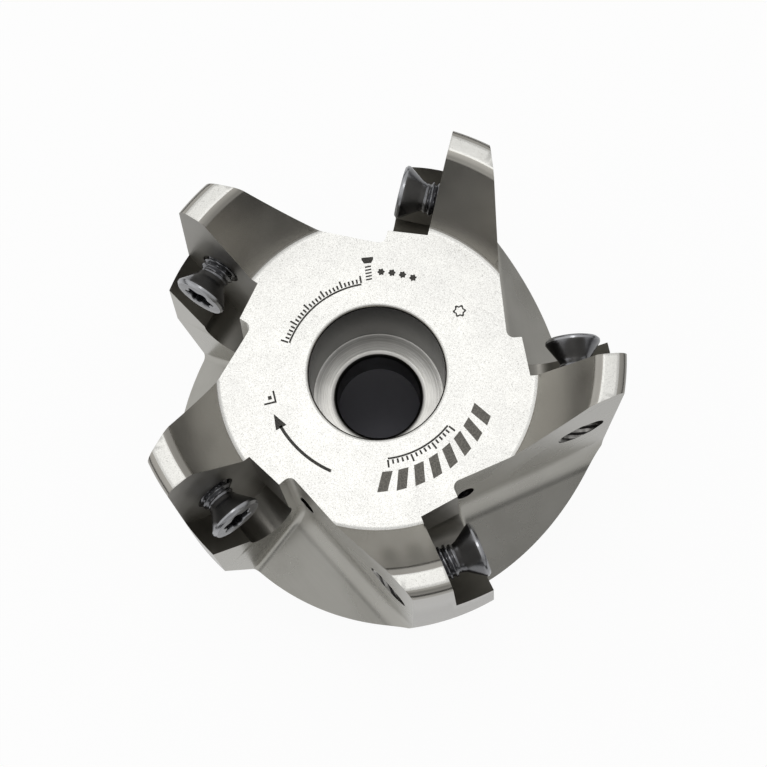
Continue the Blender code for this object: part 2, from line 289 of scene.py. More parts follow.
# Painted shade: the darker oxide inside the driver recess
RECESS_PAINTED_SHADE = (0.10, 0.10, 0.106, 1.0)
BARE_STEEL = (0.42, 0.425, 0.44, 1.0)
WEAR_GRAIN = 520.0
WEAR_RANGE = (0.25, 0.60)
WEAR_LEAST = 0.70
OXIDE_RANGE = (0.35, 0.7)
OXIDE_GRAIN = 2600.0
OXIDE_ROUGHNESS = (0.20, 0.27)
OXIDE_RELIEF = 0.0000006
THIN_MARK = {"dark": (0.035, 0.033, 0.030, 1.0), "light": (0.085, 0.082, 0.074, 1.0)}
BOLD_MARK = {"dark": (0.115, 0.110, 0.098, 1.0), "light": (0.205, 0.195, 0.172, 1.0)}
MARK_FINISH = {"metallic": 0.6, "grain": 5200.0, "detail": 2.0, "range": (0.40, 0.62),
               "roughness": (0.55, 0.65), "relief": 0.000004}

# Floor: distances are from the spindle axis
FLOOR_HALF = 3.0
FLOOR_CELLS = 8
FLOOR_GAP = 0.00002
FLOOR_GRAIN = 30.0
FLOOR_COLOURS = ((0.90, 0.90, 0.895, 1.0), (0.93, 0.93, 0.93, 1.0))
FLOOR_ROUGHNESS = 0.8
FLOOR_SPECULAR = 0.1
FLOOR_PALE = 0.14
FLOOR_DARK = 0.20
FLOOR_GLOW = 0.93
# Painted reflection and painted shade: the floor glows to mirror rays near the cutter, looks dark to
# them further off, and is grey under the hub
FLOOR_MIRROR_LEFT = 0.82
FLOOR_MIRROR_RIGHT = 0.66
FLOOR_SHADE_FRONT = 0.05
FLOOR_SHADE_BACK = 0.12
HUB_SHADE = (0.46, 0.46, 0.46 * 1.12, 1.0)
HUB_SHADE_EDGE = 0.003

# Dome brightness against the height of the view direction: horizon 0, zenith 1
DOME = ((0.0, 0.50), (0.20, 0.52), (0.60, 0.58), (1.0, 0.66))
DOME_CAMERA_SIDE = ((0.0, 0.0), (0.07, 0.07), (0.15, 0.46), (0.30, 0.42), (0.60, 0.20), (1.0, 0.55))
DOME_BACK = ((0.0, 0.50), (0.25, 0.58), (0.80, 0.54), (0.92, 0.76), (1.0, 0.78))
CAMERA_SIDE = (-0.85, -0.35)
BACK_SIDE = (0.12, 0.40)
WORLD_LEFT = 1.72
WORLD_RIGHT = 1.04

LAMP_PLACE = (-0.017, 0.178, 0.932)
LAMP_WIDTH = 0.23
LAMP_LENGTH = 0.27
LAMP_POWER = 0.49

CAMERA_LENS = 84.53
CAMERA_SENSOR = 36.0
CAMERA_CLIP = 0.01
CAMERA_PLACE = (-0.00218, -0.05868, 0.23705)
CAMERA_TURN = (14.658, 0.787, -5.842)


# ---------------------------------------------------------------- mesh helpers

def link(obj):
    """Adds an object to the scene."""
    bpy.context.scene.collection.objects.link(obj)
    return obj


def arc(centre_x, centre_y, radius, start, end, count):
    """Points of an arc, angles in radians, both ends included."""
    steps = [start + (end - start) * i / count for i in range(count + 1)]
    return [(centre_x + radius * math.cos(a), centre_y + radius * math.sin(a)) for a in steps]


def ring_mesh(name, rings, closed=False):
    """Closed solid from rings of equal point counts: joined end to end, or capped."""
    bm = bmesh.new()
    loops = [[bm.verts.new(point) for point in ring] for ring in rings]
    pairs = list(zip(loops, loops[1:]))
    if closed:
        pairs.append((loops[-1], loops[0]))
    count = len(rings[0])
    for low, high in pairs:
        for i in range(count):
            j = (i + 1) % count
            bm.faces.new((low[i], low[j], high[j], high[i]))
    if not closed:
        bm.faces.new(list(reversed(loops[0])))
        bm.faces.new(loops[-1])
    bmesh.ops.recalc_face_normals(bm, faces=bm.faces)
    mesh = bpy.data.meshes.new(name)
    bm.to_mesh(mesh)
    bm.free()
    return mesh


def circle(radius, height, count):
    """One ring about the Z axis. radius may be a function of the angle."""
    points = []
    for i in range(count):
        angle = TURN * i / count
        r = radius(angle) if callable(radius) else radius
        points.append(Vector((r * math.cos(angle), r * math.sin(angle), height)))
    return points


# ---------------------------------------------------------------- places

def pocket_turn(number):
    """Turns the first pocket onto the pocket of the given number."""
    return Matrix.Rotation(TURN * (number - 1) / POCKETS, 4, "Z")


def seat_frame():
    """First pocket's seat: x outward, y off the seat floor, z up the radial wall."""
    lean = Matrix.Rotation(AXIAL_LEAN, 4, "X") @ Matrix.Rotation(-RADIAL_LEAN, 4, "Z")
    return Matrix.Translation(POCKET_CORNER) @ lean


def screw_frame():
    """First pocket's screw: +Z along its axis, away from the seat floor."""
    place = Matrix.Translation((SCREW_OUT, 0.0, -SCREW_DOWN))
    return seat_frame() @ place @ Matrix.Rotation(math.radians(-90.0), 4, "X")


# ---------------------------------------------------------------- cutter body

def seat_rings(outer, inner, height):
    """Turning grooves on the bolt seat: a shallow ripple between two radii."""
    points = []
    width = (outer - inner) / SEAT_RINGS
    first, middle, last = SEAT_RING_SHARES
    for i in range(SEAT_RINGS):
        start = inner + width * i
        points.append((start + width * first, height))
        points.append((start + width * middle, height - SEAT_RING_DEPTH))
        points.append((start + width * last, height))
    return points


def body_profile():
    """The blank's outline as (radius, height), from the disc's rim round to the counterbore."""
    cone_end = RIM_RADIUS + (TOP - DISC) * math.tan(CONE_ANGLE)
    turn = math.pi / 2 - CONE_ANGLE
    inner_tangent = INNER_ROUND * math.tan(turn / 2)
    rim_tangent = RIM_FILLET * math.tan(turn / 2)
    taper_end = TAPER_TOP - (BODY_RADIUS - HUB_RADIUS) / math.tan(TAPER_ANGLE)
    points = arc(RIM_RADIUS - rim_tangent, DISC + RIM_FILLET, RIM_FILLET,
                 -math.pi / 2, -math.pi / 2 + turn, RIM_STEPS)
    points += arc(cone_end + inner_tangent, TOP - INNER_ROUND, INNER_ROUND,
                  math.pi / 2 + turn, math.pi / 2, INNER_ROUND_STEPS)
    points += arc(BODY_RADIUS - OUTER_ROUND, TOP - OUTER_ROUND, OUTER_ROUND,
                  math.pi / 2, 0.0, OUTER_ROUND_STEPS)
    points.append((BODY_RADIUS, TAPER_TOP))
    points.append((HUB_RADIUS, taper_end))
    points += arc(HUB_RADIUS - REAR_CHAMFER, REAR + REAR_CHAMFER, REAR_CHAMFER,
                  0.0, -math.pi / 2, REAR_CHAMFER_STEPS)
    points.append((ARBOR_BORE_RADIUS + ARBOR_BORE_CHAMFER, REAR))
    points.append((ARBOR_BORE_RADIUS, REAR + ARBOR_BORE_CHAMFER))
    points.append((ARBOR_BORE_RADIUS, ARBOR_BORE_TOP))
    points.append((BOLT_HOLE_RADIUS, ARBOR_BORE_TOP))
    points += arc(BOLT_HOLE_RADIUS + BOLT_HOLE_ROUND, BOLT_SEAT - BOLT_HOLE_ROUND,
                  BOLT_HOLE_ROUND, math.pi, math.pi / 2, MOUTH_STEPS)
    points += seat_rings(COUNTERBORE_RADIUS - SEAT_RING_EDGE,
                         BOLT_HOLE_RADIUS + SEAT_RING_INNER, BOLT_SEAT)
    points.append((COUNTERBORE_RADIUS, BOLT_SEAT))
    points += arc(COUNTERBORE_RADIUS + MOUTH_ROUND, DISC - MOUTH_ROUND, MOUTH_ROUND,
                  math.pi, math.pi / 2, MOUTH_STEPS)
    return points


def turned_mesh(name, profile, steps):
    """Closed ring solid from a profile of (radius, height) points."""
    rings = []
    for i in range(steps):
        angle = TURN * i / steps
        rings.append([Vector((r * math.cos(angle), r * math.sin(angle), z)) for r, z in profile])
    return ring_mesh(name, rings, closed=True)


def gullet_mesh():
    """Gullet cutter, whose near end is the plane at the top of the pocket walls."""
    top = TOP + OVERCUT
    outside = BODY_RADIUS + OVERCUT
    turn = arc(GULLET_FLOOR + GULLET_TURN_RADIUS, GULLET_TURN_HEIGHT, GULLET_TURN_RADIUS,
               math.pi, math.pi + GULLET_RUNOUT, GULLET_TURN_STEPS)
    last_u, last_z = turn[-1]
    drop = (outside - last_u) / math.tan(GULLET_RUNOUT)
    section = [(GULLET_FLOOR, top), *turn, (outside, last_z - drop), (outside, top)]
    seat = seat_frame()
    normal = (seat.to_3x3() @ Vector((0.0, 1.0, 0.0))).normalized()
    on_plane = seat @ Vector((0.0, WALL_HEIGHT, 0.0))
    near = []
    far = []
    for u, z in section:
        v = on_plane.y - (normal.x * (u - on_plane.x) + normal.z * (z - on_plane.z)) / normal.y
        near.append(Vector((u, v, z)))
        far.append(Vector((u, GULLET_LENGTH, z)))
    mesh = ring_mesh("gullet_cutter", [near, far])
    weights = mesh.attributes.new("bevel_weight_edge", "FLOAT", "EDGE")
    for edge in mesh.edges:
        ends = [mesh.vertices[i].co for i in edge.vertices]
        at_near_end = all(end.y < GULLET_LENGTH / 2 for end in ends)
        outer = all(end.x > BODY_RADIUS for end in ends)
        above = all(end.z > TOP for end in ends)
        if at_near_end and not outer and not above:
            weights.data[edge.index].value = 1.0
    return mesh


def seat_outline(offset):
    """Pocket outline in the seat's x and z: radial wall, drilled corner relief, rear wall."""
    relief_u, relief_z = RELIEF_CENTRE
    rear_wall = (FAR_CORNER_DEPTH + relief_z) * math.sin(INSERT_ANGLE)
    rear_wall -= relief_u * math.cos(INSERT_ANGLE)
    start = math.acos(-(relief_u + offset) / RELIEF_RADIUS)
    end = TURN - INSERT_ANGLE + math.acos((rear_wall + offset) / RELIEF_RADIUS)
    turn = arc(relief_u, relief_z, RELIEF_RADIUS, start, end, RELIEF_STEPS)
    last_u, last_z = turn[-1]
    rise = (POCKET_REACH - last_u) / math.tan(INSERT_ANGLE)
    top = TOP - DISC + 2 * OVERCUT
    return [(-offset, top), *turn, (POCKET_REACH, last_z + rise), (POCKET_REACH, top)]


def pocket_mesh():
    """Pocket cutter, widening by the insert's clearance angle above the seat floor."""
    height = WALL_HEIGHT + OVERCUT
    seat = seat_frame()
    lower = [seat @ Vector((u, 0.0, z)) for u, z in seat_outline(0.0)]
    grow = height * math.tan(INSERT_CLEARANCE)
    upper = [seat @ Vector((u, height, z)) for u, z in seat_outline(grow)]
    return ring_mesh("pocket_cutter", [lower, upper])


def thread_wave(angle, height):
    """0 at a thread's root to 1 at its crest, rising once a pitch and once a turn."""
    phase = (height / THREAD_PITCH - angle / TURN) % 1.0
    return 1.0 - abs(2.0 * phase - 1.0)


def threaded_rings(radius, depth, top, bottom, rows_per_turn):
    """Rings of a threaded bore. A positive depth cuts outward from radius, a negative one inward."""
    rows = int(round((top - bottom) / (THREAD_PITCH / rows_per_turn)))
    rings = []
    for row in range(rows + 1):
        height = top - (top - bottom) * row / rows
        rings.append(circle(lambda a, z=height: radius + depth * thread_wave(a, z),
                            height, HOLE_STEPS))
    return rings


def tapped_hole_mesh():
    """Cutter with a real helical thread, opened out behind the tooth."""
    exit_start = HOLE_DEPTH + HOLE_EXIT_RADIUS - HOLE_RADIUS
    rings = threaded_rings(HOLE_RADIUS, HOLE_THREAD, OVERCUT, -HOLE_DEPTH, HOLE_ROWS)
    rings += threaded_rings(HOLE_EXIT_RADIUS, -EXIT_THREAD, -exit_start, -HOLE_EXIT_DEPTH, EXIT_ROWS)
    return ring_mesh("tapped_hole_cutter", rings)


def coolant_mesh():
    """Plain round cutter along +Z."""
    rings = [circle(COOLANT_RADIUS, 0.0, HOLE_STEPS),
             circle(COOLANT_RADIUS, COOLANT_LENGTH, HOLE_STEPS)]
    return ring_mesh("coolant_cutter", rings)


def coolant_place():
    """First pocket's coolant hole: its mouth in the gullet floor, leaning to the disc."""
    mouth = Vector((GULLET_FLOOR, COOLANT_SIDE, DISC - COOLANT_DEPTH))
    tilt = Matrix.Rotation(COOLANT_ANGLE - math.pi, 4, "Y")
    return Matrix.Translation(mouth) @ tilt @ Matrix.Translation((0.0, 0.0, -2 * OVERCUT))


def drive_slot_mesh():
    """Cutter of the slot across the rear, with rounded inner corners."""
    half = DRIVE_SLOT_WIDTH / 2
    depth = REAR + DRIVE_SLOT_DEPTH
    soft = DRIVE_SLOT_CORNER
    section = [(-half, REAR - OVERCUT)]
    section += arc(-half + soft, depth - soft, soft, math.pi, math.pi / 2, DRIVE_SLOT_STEPS)
    section += arc(half - soft, depth - soft, soft, math.pi / 2, 0.0, DRIVE_SLOT_STEPS)
    section.append((half, REAR - OVERCUT))
    reach = HUB_RADIUS + OVERCUT
    rings = [[Vector((x, y, z)) for x, z in section] for y in (-reach, reach)]
    return ring_mesh("drive_slot_cutter", rings)


def cutter_objects(finishes):
    """Every cutter, in a collection of its own, with the finish that it leaves."""
    folder = bpy.data.collections.new("body_cutters")
    gullet = gullet_mesh()
    kinds = [(gullet, Matrix()), (pocket_mesh(), Matrix()),
             (tapped_hole_mesh(), screw_frame()), (coolant_mesh(), coolant_place())]
    for (mesh, _), finish in zip(kinds, ("milled", "seat", "hole", "hole")):
        mesh.materials.append(finishes[finish])
    for number in range(1, POCKETS + 1):
        for mesh, local in kinds:
            cutter = bpy.data.objects.new(f"{mesh.name}_{number}", mesh)
            folder.objects.link(cutter)
            cutter.matrix_world = pocket_turn(number) @ local
            if mesh is gullet:
                soften = cutter.modifiers.new("corner", "BEVEL")
                soften.width = GULLET_CORNER
                soften.segments = GULLET_CORNER_STEPS
                soften.limit_method = "WEIGHT"
    slot_mesh = drive_slot_mesh()
    slot_mesh.materials.append(finishes["milled"])
    folder.objects.link(bpy.data.objects.new("drive_slot", slot_mesh))
    return folder


def blank_finish(face):
    """Name of the finish on one face of the turned blank."""
    centre = face.center
    radius = math.hypot(centre.x, centre.y)
    on_land = radius > RIM_RADIUS + RIM_FILLET
    slope = LAND_SLOPE if on_land else BLASTED_SLOPE
    if face.normal.z > slope and centre.z > DISC - MOUTH_ROUND:
        return "land" if on_land else "blasted"
    if radius < ARBOR_BORE_RADIUS and centre.z < DISC - MOUTH_ROUND / 2:
        return "bolt_seat" if abs(face.normal.z) > BLASTED_SLOPE else "bore"
    return "turned"


def blank_mesh(finishes):
    """The turned blank, its end faces blasted, its bolt seat and bores turned."""
    mesh = turned_mesh("blank", body_profile(), BODY_STEPS)
    order = ("turned", "blasted", "land", "bore", "bolt_seat")
    for finish in order:
        mesh.materials.append(finishes[finish])
    for face in mesh.polygons:
        face.material_index = order.index(blank_finish(face))
    return mesh


def cut_body(finishes):
    """Turned blank minus all the cutters, as one plain mesh."""
    blank = link(bpy.data.objects.new("blank", blank_mesh(finishes)))
    folder = cutter_objects(finishes)
    bpy.context.scene.collection.children.link(folder)
    cut = blank.modifiers.new("cut", "BOOLEAN")
    cut.operation = "DIFFERENCE"
    cut.solver = "EXACT"
    cut.operand_type = "COLLECTION"
    cut.collection = folder
    cut.material_mode = "TRANSFER"
    bpy.context.view_layer.update()
    depsgraph = bpy.context.evaluated_depsgraph_get()
    mesh = bpy.data.meshes.new_from_object(blank.evaluated_get(depsgraph))
    for cutter in list(folder.objects):
        bpy.data.objects.remove(cutter)
    bpy.data.collections.remove(folder)
    bpy.data.objects.remove(blank)
    return mesh


def near_screw_hole(point):
    """True inside the tapped holes, whose thread keeps its sharp crests."""
    for number in range(1, POCKETS + 1):
        local = screw_place(number).inverted() @ point
        if math.hypot(local.x, local.y) < HOLE_EXIT_RADIUS + EDGE_ROUND:
            return True
    return False


def soften_edges(mesh):
    """A small rounding on the machined edges, as a tumbled and plated body has."""
    bm = bmesh.new()
    bm.from_mesh(mesh)
    bmesh.ops.remove_doubles(bm, verts=bm.verts, dist=EDGE_MERGE)
    bmesh.ops.dissolve_degenerate(bm, edges=bm.edges, dist=EDGE_MERGE)
    sharp = []
    for edge in bm.edges:
        if edge.is_manifold and edge.calc_face_angle() > EDGE_ANGLE:
            if not near_screw_hole((edge.verts[0].co + edge.verts[1].co) / 2):
                sharp.append(edge)
    bmesh.ops.bevel(bm, geom=sharp, offset=EDGE_ROUND, segments=EDGE_SEGMENTS,
                    profile=EDGE_PROFILE, affect="EDGES", clamp_overlap=True)
    bmesh.ops.recalc_face_normals(bm, faces=bm.faces)
    flatten_planes(bm)
    bm.to_mesh(mesh)
    bm.free()


def flatten_planes(bm):
    """Shades everything smooth but the large planes and the slivers that lie in them."""
    planes = [face for face in bm.faces if face.calc_area() > PLANE_AREA]
    for face in bm.faces:
        face.smooth = True
    for plane in planes:
        plane.smooth = False
        for edge in plane.edges:
            for beside in edge.link_faces:
                if beside.normal.angle(plane.normal, 0.0) < PLANE_TOLERANCE:
                    beside.smooth = False


def build_body():
    """The whole cutter body as one piece, each face in the finish that made it."""
    finishes = {"blasted": blasted_nickel("blasted_nickel", DISC_LOOK),
                "land": blasted_nickel("land_nickel", LAND_LOOK),
                "turned": satin_nickel("turned_nickel", TURNED),
                "milled": satin_nickel("milled_nickel", MILLED),
                "bore": bored_steel("bored_steel", BORE_LOOK),
                "bolt_seat": bored_steel("faced_steel", BOLT_SEAT_LOOK),
                "seat": shaded_ground_seat(), "hole": shaded_tapped_steel()}
    mesh = cut_body(finishes)
    soften_edges(mesh)
    mesh.name = "face_mill_body"
    mesh.set_sharp_from_angle(angle=SMOOTH_ANGLE)
    body = link(bpy.data.objects.new("face_mill_body", mesh))
    even = body.modifiers.new("even_shading", "WEIGHTED_NORMAL")
    even.keep_sharp = True
    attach(body, "body")
    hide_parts("cutter_body")


# ---------------------------------------------------------------- insert screws

def screw_place(number):
    """A pocket's screw: its axis is +Z, and its height 0 is the seat floor."""
    return pocket_turn(number) @ screw_frame()


def recess_radius(angle, grow):
    """Radius of the driver recess's six-lobed outline, grown outward by grow."""
    return RECESS_RADIUS + grow + RECESS_WAVE * math.cos(LOBES * angle)


def screw_rings():
    """Rings of a screw from the bottom of its recess, over the head, down to its tip."""
    def floor_lobe(share):
        return lambda angle: share * recess_radius(angle, 0.0)

    def wall_lobe(grow):
        return lambda angle: recess_radius(angle, grow)

    rings = [(floor_lobe(share), HEAD_TOP - depth, wear_or_shade) for share, depth, wear_or_shade in RECESS_FLOOR]
    rings += [(wall_lobe(grow), HEAD_TOP - depth, wear_or_shade) for grow, depth, wear_or_shade in RECESS_WALL]
    rings += [(radius, HEAD_TOP - depth, wear_or_shade) for radius, depth, wear_or_shade in HEAD_RINGS]
    for row in range(1, HEAD_CONE_ROWS):
        share = row / HEAD_CONE_ROWS
        radius = HEAD_RADIUS + (NECK_RADIUS - HEAD_RADIUS) * share
        rings.append((radius, HEAD_TOP - HEAD_RIM - HEAD_CONE * share, 0.0))
    neck_top = HEAD_TOP - HEAD_RIM - HEAD_CONE
    rings.append((NECK_RADIUS + NECK_FLARE, neck_top + NECK_EASE, 0.0))
    rings.append((NECK_RADIUS, neck_top - NECK_EASE, 0.0))
    rings += thread_rings(neck_top - NECK, HEAD_TOP - SCREW_LENGTH)
    rings += [(radius, HEAD_TOP - depth, wear_or_shade) for radius, depth, wear_or_shade in TIP_RINGS]
    return rings


def thread_rings(top, tip):
    """Rings of the thread, faded in over its first turn and out at the tip."""
    rows = int(round((top - tip) / (THREAD_PITCH / THREAD_ROWS)))
    rings = []
    for row in range(rows + 1):
        height = top - (top - tip) * row / rows
        lead = min(1.0, (top - height) / THREAD_PITCH, (height - tip) / THREAD_PITCH + THREAD_END)
        rings.append((thread_ring(height, lead), height, 0.0))
    return rings


def thread_ring(height, lead):
    """Radius round one ring of the thread; lead fades it in and out."""
    root = THREAD_RADIUS - THREAD_DEPTH

    def radius(angle):
        crest = min(1.0, THREAD_CREST * thread_wave(angle, height))
        return root + lead * THREAD_DEPTH * crest

    return radius


def screw_mesh(name, place):
    """One screw in its pocket, with how worn its oxide is, or how much painted shade darkens its
    recess, on every point.
    """
    rows = screw_rings()
    rings = [[place @ point for point in circle(radius, height, SCREW_STEPS)]
             for radius, height, _ in rows]
    mesh = ring_mesh(name, rings)
    wear_or_shade = mesh.attributes.new("wear_and_recess_shade", "FLOAT", "POINT")
    for index, (_, _, share) in enumerate(rows):
        for i in range(SCREW_STEPS):
            wear_or_shade.data[index * SCREW_STEPS + i].value = share
    mesh.shade_smooth()
    mesh.set_sharp_from_angle(angle=SMOOTH_ANGLE)
    return mesh


def build_screws():
    """The five screws, each with its own lift out of the seat and turn of its recess."""
    oxide = black_oxide()
    for number in range(1, POCKETS + 1):
        lift = Matrix.Translation((0.0, 0.0, SCREW_LIFTS[number - 1]))
        spin = Matrix.Rotation(SCREW_SPINS[number - 1], 4, "Z")
        name = f"threaded_screw_{number}"
        mesh = screw_mesh(name, screw_place(number) @ lift @ spin)
        mesh.materials.append(oxide)
        screw = link(bpy.data.objects.new(name, mesh))
        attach(screw, f"screw_{number}")
        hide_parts(f"insert_screw_{number}")


# ---------------------------------------------------------------- laser marks

def polar(radius, angle, along=0.0):
    """Point on the disc. angle in radians; along shifts it clockwise, in metres."""
    return (radius * math.cos(angle) + along * math.sin(angle),
            radius * math.sin(angle) - along * math.cos(angle))


def bar(angle, inner, outer, width, slant=0.0):
    """A straight radial bar, its outer end shifted clockwise by slant."""
    return [polar(inner, angle, -width / 2), polar(outer, angle, slant - width / 2),
            polar(outer, angle, slant + width / 2), polar(inner, angle, width / 2)]


def band(start, end, inner, outer, count):
    """A curved line of constant width round the disc."""
    return (arc(0.0, 0.0, outer, start, end, count)
            + list(reversed(arc(0.0, 0.0, inner, start, end, count))))


def arrow_head(angle, radius, size):
    """Triangle pointing clockwise."""
    return [polar(radius, angle, size), polar(radius - size / 2, angle, -size / 3),
            polar(radius + size / 2, angle, -size / 3)]


def star(angle, radius, size):
    """Six-lobed outline, like the screws' driver recess."""
    centre = polar(radius, angle)
    points = []
    for i in range(STAR_STEPS):
        turn = TURN * i / STAR_STEPS
        reach = size * (1.0 + LOBE_WAVE * math.cos(LOBES * turn))
        points.append((centre[0] + reach * math.cos(turn), centre[1] + reach * math.sin(turn)))
    return points


def scale_marks(start, end, radius, ticks):
    """A graduated arc between two angles in degrees: a base line, short and long ticks."""
    start = math.radians(start)
    end = math.radians(end)
    steps = STEPS_PER_TICK * ticks
    shapes = [band(start, end, radius - LINE / 2, radius + LINE / 2, steps)]
    for i in range(ticks + 1):
        height = SHORT_TICK if i % LONG_TICK_EVERY else LONG_TICK
        shapes.append(bar(start + (end - start) * i / ticks, radius + TICK_START,
                          radius + height, LINE))
    return shapes


def screw_sign(angle, radius):
    """Small picture of a countersunk screw, head outward."""
    left = [polar(radius + up, angle, -half) for up, half in SIGN_HEAD]
    right = [polar(radius + up, angle, half) for up, half in reversed(SIGN_HEAD)]
    shapes = [left + right]
    for i in range(SIGN_TURNS):
        low = radius - SIGN_LENGTH + SIGN_PITCH * i
        shapes.append([polar(low + up, angle, along) for up, along in SIGN_TURN])
    return shapes


def corner_sign(angle, radius, size):
    """A right angle with a small square in it, for a square-shoulder cutter."""
    low = radius - size / 2
    side = -size / 2
    outline = [(low, side), (low + size, side), (low + size, side + LINE),
               (low + LINE, side + LINE), (low + LINE, -side), (low, -side)]
    start, end = [size * share for share in CORNER_DOT]
    return [[polar(reach, angle, along) for reach, along in outline],
            bar(angle, low + start, low + end, start)]


def prism(bm, outer, inner=None):
    """A thin closed inlay from a flat outline, with or without a matching inner outline."""
    heights = (DISC - MARK_DEPTH, DISC + MARK_PROUD)
    loops = [[bm.verts.new((x, y, height)) for x, y in outer] for height in heights]
    if inner:
        loops += [[bm.verts.new((x, y, height)) for x, y in inner] for height in reversed(heights)]
    count = len(outer)
    pairs = list(zip(loops, loops[1:] + loops[:1])) if inner else [loops]
    for low, high in pairs:
        for i in range(count):
            j = (i + 1) % count
            bm.faces.new((low[i], low[j], high[j], high[i]))
    if not inner:
        bm.faces.new(list(reversed(loops[0])))
        bm.faces.new(loops[1])


def build_mark(name, material, shapes, ringed=()):
    """One group of inlays: plain outlines, and pairs of outer and inner outlines."""
    bm = bmesh.new()
    for outline in shapes:
        prism(bm, outline)
    for outer, inner in ringed:
        prism(bm, outer, inner)
    bmesh.ops.recalc_face_normals(bm, faces=bm.faces)
    mesh = bpy.data.meshes.new(name)
    bm.to_mesh(mesh)
    bm.free()
    mesh.materials.append(material)
    mark = link(bpy.data.objects.new(name, mesh))
    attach(mark, "body")


def at(place):
    """A mark's place, its angle turned from degrees to radians."""
    angle, radius = place
    return math.radians(angle), radius


def build_marks():
    """Generic marks only: scales, pictures of a screw, its driver and a square shoulder."""
    thin = laser_mark("laser_mark_dark", THIN_MARK)
    bold = laser_mark("laser_mark_grey", BOLD_MARK)
    build_mark("laser_scale", thin, scale_marks(**OUTER_SCALE))
    build_mark("laser_screw_sign", thin, screw_sign(*at(SCREW_SIGN_AT)))
    dots = [star(math.radians(angle), DOT_RADIUS, DOT_SIZE) for angle in DOT_ANGLES]
    build_mark("laser_dots", thin, dots)
    outline = star(*at(DRIVER_SIGN_AT), DRIVER_SIGN)
    inside = star(*at(DRIVER_SIGN_AT), DRIVER_SIGN - LINE)
    build_mark("laser_driver_sign", thin, [], [(outline, inside)])
    bars = [bar(math.radians(angle), *BAR_ENDS, BAR_WIDTH, BAR_SLANT) for angle in BAR_ANGLES]
    build_mark("laser_bars", bold, bars)
    build_mark("laser_inner_scale", thin, scale_marks(**INNER_SCALE))
    start, end = [math.radians(angle) for angle in ARROW_ENDS]
    arrow = [band(start, end, *ARROW_EDGES, ARROW_STEPS),
             arrow_head(*at(ARROW_HEAD_AT), ARROW_HEAD)]
    arrow += corner_sign(*at(CORNER_SIGN_AT), CORNER_SIGN)
    build_mark("laser_rotation_arrow", thin, arrow)


# ---------------------------------------------------------------- materials

def add_node(tree, kind, values=None, **settings):
    """New shader node, its settings by name, its inputs by name or number."""
    node = tree.nodes.new(kind)
    for key, value in settings.items():
        setattr(node, key, value)
    for key, value in (values or {}).items():
        if isinstance(value, bpy.types.NodeSocket):
            tree.links.new(value, node.inputs[key])
        else:
            node.inputs[key].default_value = value
    return node


def new_material(name):
    """A material with its node tree and its principled shader."""
    material = bpy.data.materials.new(name)
    material.use_nodes = True
    tree = material.node_tree
    return material, tree, tree.nodes["Principled BSDF"]


def grain(tree, scale, stretch=(1.0, 1.0, 1.0), detail=2.0, roughness=0.5):
    """Noise value in object space. scale is in grains per metre."""
    place = add_node(tree, "ShaderNodeTexCoord")
    mapping = add_node(tree, "ShaderNodeMapping",
                       {"Vector": place.outputs["Object"], "Scale": stretch})
    noise = add_node(tree, "ShaderNodeTexNoise",
                     {"Vector": mapping.outputs["Vector"], "Scale": scale,
                      "Detail": detail, "Roughness": roughness})
    return noise.outputs["Fac"]


def ramp(tree, value, low, high, to_low, to_high):
    """Maps value from low..high to to_low..to_high, clamped."""
    node = add_node(tree, "ShaderNodeMapRange",
                    {"Value": value, "From Min": low, "From Max": high,
                     "To Min": to_low, "To Max": to_high})
    return node.outputs["Result"]


def mix_colour(tree, share, first, second):
    """First colour where share is 0, second where it is 1. The node's colour inputs are
    its sockets 6 and 7, and its colour result is socket 2."""
    node = add_node(tree, "ShaderNodeMix", data_type="RGBA")
    for key, value in ((0, share), (6, first), (7, second)):
        if isinstance(value, bpy.types.NodeSocket):
            tree.links.new(value, node.inputs[key])
        else:
            node.inputs[key].default_value = value
    return node.outputs[2]


def combine(tree, operation, first, second):
    """Two values through one math node."""
    node = add_node(tree, "ShaderNodeMath", {0: first, 1: second}, operation=operation)
    return node.outputs[0]


def set_bump(tree, shader, height, distance):
    """Relief of the given depth in metres."""
    bump = add_node(tree, "ShaderNodeBump", {"Height": height, "Distance": distance, "Strength": 1.0})
    tree.links.new(bump.outputs["Normal"], shader.inputs["Normal"])


def set_roughness(tree, shader, value, limits):
    """Roughness between two limits, following a noise value."""
    tree.links.new(ramp(tree, value, *MIDDLE, *limits), shader.inputs["Roughness"])


def clouded(tree, noise, limits, look):
    """The look's dark to light colour, following a noise value."""
    return mix_colour(tree, ramp(tree, noise, *limits, 0.0, 1.0), look["dark"], look["light"])


def blasted_nickel(name, look):
    """Bead-blasted, nickel-plated end faces: pale, with fine dark pits and soft clouds."""
    material, tree, shader = new_material(name)
    pits = grain(tree, PIT_GRAIN, detail=2.0, roughness=0.6)
    sand = grain(tree, SAND_GRAIN, detail=1.0)
    clouds = grain(tree, BLAST_CLOUDS, detail=5.0, roughness=0.6)
    pit_share = ramp(tree, pits, *PIT_RANGE, look["pits"], 0.0)
    sand_share = ramp(tree, sand, *SAND_RANGE, look["sand"], 0.0)
    sanded = mix_colour(tree, sand_share, clouded(tree, clouds, MIDDLE, look), SAND_COLOUR)
    colour = mix_colour(tree, pit_share, sanded, PIT_COLOUR)
    tree.links.new(colour, shader.inputs["Base Color"])
    shader.inputs["Metallic"].default_value = 1.0
    set_roughness(tree, shader, clouds, look["roughness"])
    set_bump(tree, shader, pits, look["relief"])
    return material


